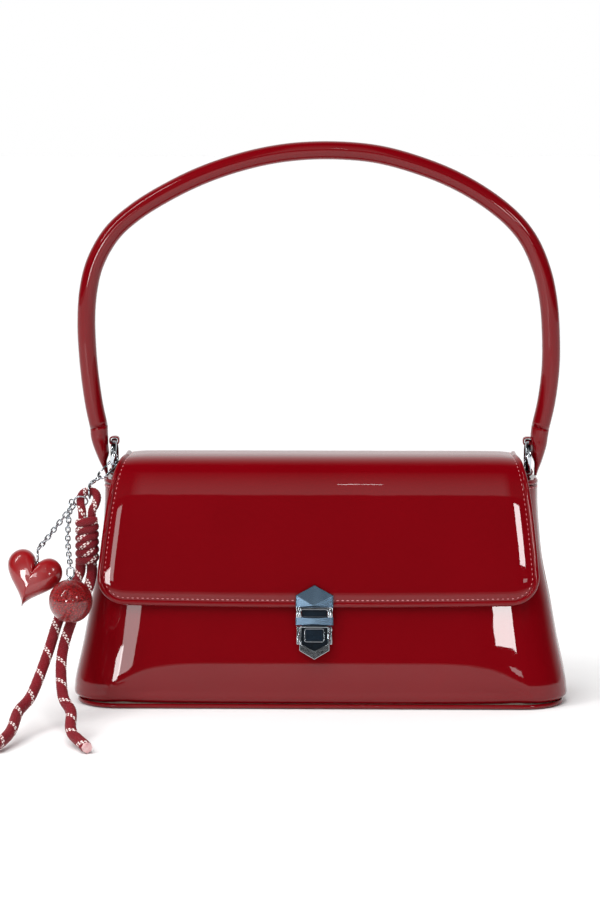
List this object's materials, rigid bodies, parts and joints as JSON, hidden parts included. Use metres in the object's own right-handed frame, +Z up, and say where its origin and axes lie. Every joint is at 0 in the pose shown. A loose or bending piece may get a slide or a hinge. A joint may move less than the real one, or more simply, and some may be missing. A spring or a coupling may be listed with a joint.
{
  "type": "baguette bag",
  "caption": "Small baguette bag in dark red patent leather with a round handle on two rings, a flap with a push lock, and a cord charm with a heart and a ball.",
  "frame": {"origin": "centre of the base's underside", "axes": "+Z up, -Y is the front with the flap and the lock, +X to the right seen from the front"},
  "size_m": [0.3042, 0.1923, 0.3064],
  "materials": {
    "patent_leather": "high gloss patent",
    "lining_cloth": "woven, matt",
    "board": "matt fibre board",
    "chrome": "polished",
    "black_inlay": "glossy black enamel",
    "cord": "braided cord",
    "resin": "glossy tinted resin",
    "core": "soft cord core"
  },
  "bodies": {
    "root": {"base_panel": "patent_leather", "base_piping": "patent_leather", "base_board": "board", "front_panel": "patent_leather", "back_panel": "patent_leather", "rim_binding": "patent_leather", "lining": "lining_cloth", "ring_tab_left": "patent_leather", "ring_tab_right": "patent_leather", "ring_left": "chrome", "ring_right": "chrome", "lock_case": "chrome", "lock_backplate": "chrome", "lock_screw_left": "chrome", "lock_screw_right": "chrome", "charm_clasp": "chrome"},
    "flap": {"flap_panel": "patent_leather", "flap_lining": "lining_cloth", "flap_edge_roll": "patent_leather", "hasp_plate": "chrome", "hasp_backplate": "chrome", "hasp_rivet_left": "chrome", "hasp_rivet_right": "chrome"},
    "handle": {"handle_cover": "patent_leather", "handle_core": "core", "handle_end_left": "patent_leather", "handle_end_right": "patent_leather"},
    "button": {"lock_button": "black_inlay"},
    "gate": {"clasp_gate": "chrome"},
    "charm": {"charm_cord_loop": "cord", "charm_knot": "cord", "knot_core": "cord", "charm_tail_left": "cord", "charm_tail_right": "cord", "tail_end_left": "core", "tail_end_right": "core", "charm_jump_ring": "chrome"},
    "heart": {"heart_chain": "chrome", "heart_eye_ring": "chrome", "heart_charm": "resin"},
    "ball": {"ball_chain": "chrome", "ball_ring": "chrome", "ball_charm": "resin"}
  },
  "joints": [
    {"name": "handle_swing", "type": "hinge", "parent": "root", "child": "handle", "pos_m": [0, 0, 0.134], "axis": [1, 0, 0], "range_deg": [-24, 70]},
    {"name": "flap_hinge", "type": "hinge", "parent": "root", "child": "flap", "pos_m": [0, 0.02488, 0.119], "axis": [-1, 0, 0], "range_deg": [0, 175]},
    {"name": "lock_button_slide", "type": "slide", "parent": "root", "child": "button", "axis": [0, -0.1943, -0.981], "range_m": [0, 0.0015], "stiffness_N_per_m": 300, "springref_m": -0.004},
    {"name": "clasp_gate_hinge", "type": "hinge", "parent": "root", "child": "gate", "pos_m": [-0.12094, -0.00811, 0.12626], "axis": [0.3604, 0.6486, -0.6704], "range_deg": [0, 25], "stiffness_Nm_per_rad": 0.002, "springref_deg": -28.65},
    {"name": "charm_swing", "type": "hinge", "parent": "root", "child": "charm", "pos_m": [-0.1268, -0.0136, 0.1157], "axis": [-1, 0, 0], "range_deg": [0, 45]},
    {"name": "heart_swing", "type": "hinge", "parent": "charm", "child": "heart", "pos_m": [-0.1351, -0.019, 0.1087], "axis": [0, 1, 0], "range_deg": [0, 45]},
    {"name": "ball_swing", "type": "hinge", "parent": "charm", "child": "ball", "pos_m": [-0.1357, -0.0216, 0.1119], "axis": [-1, 0, 0], "range_deg": [0, 30]}
  ]
}
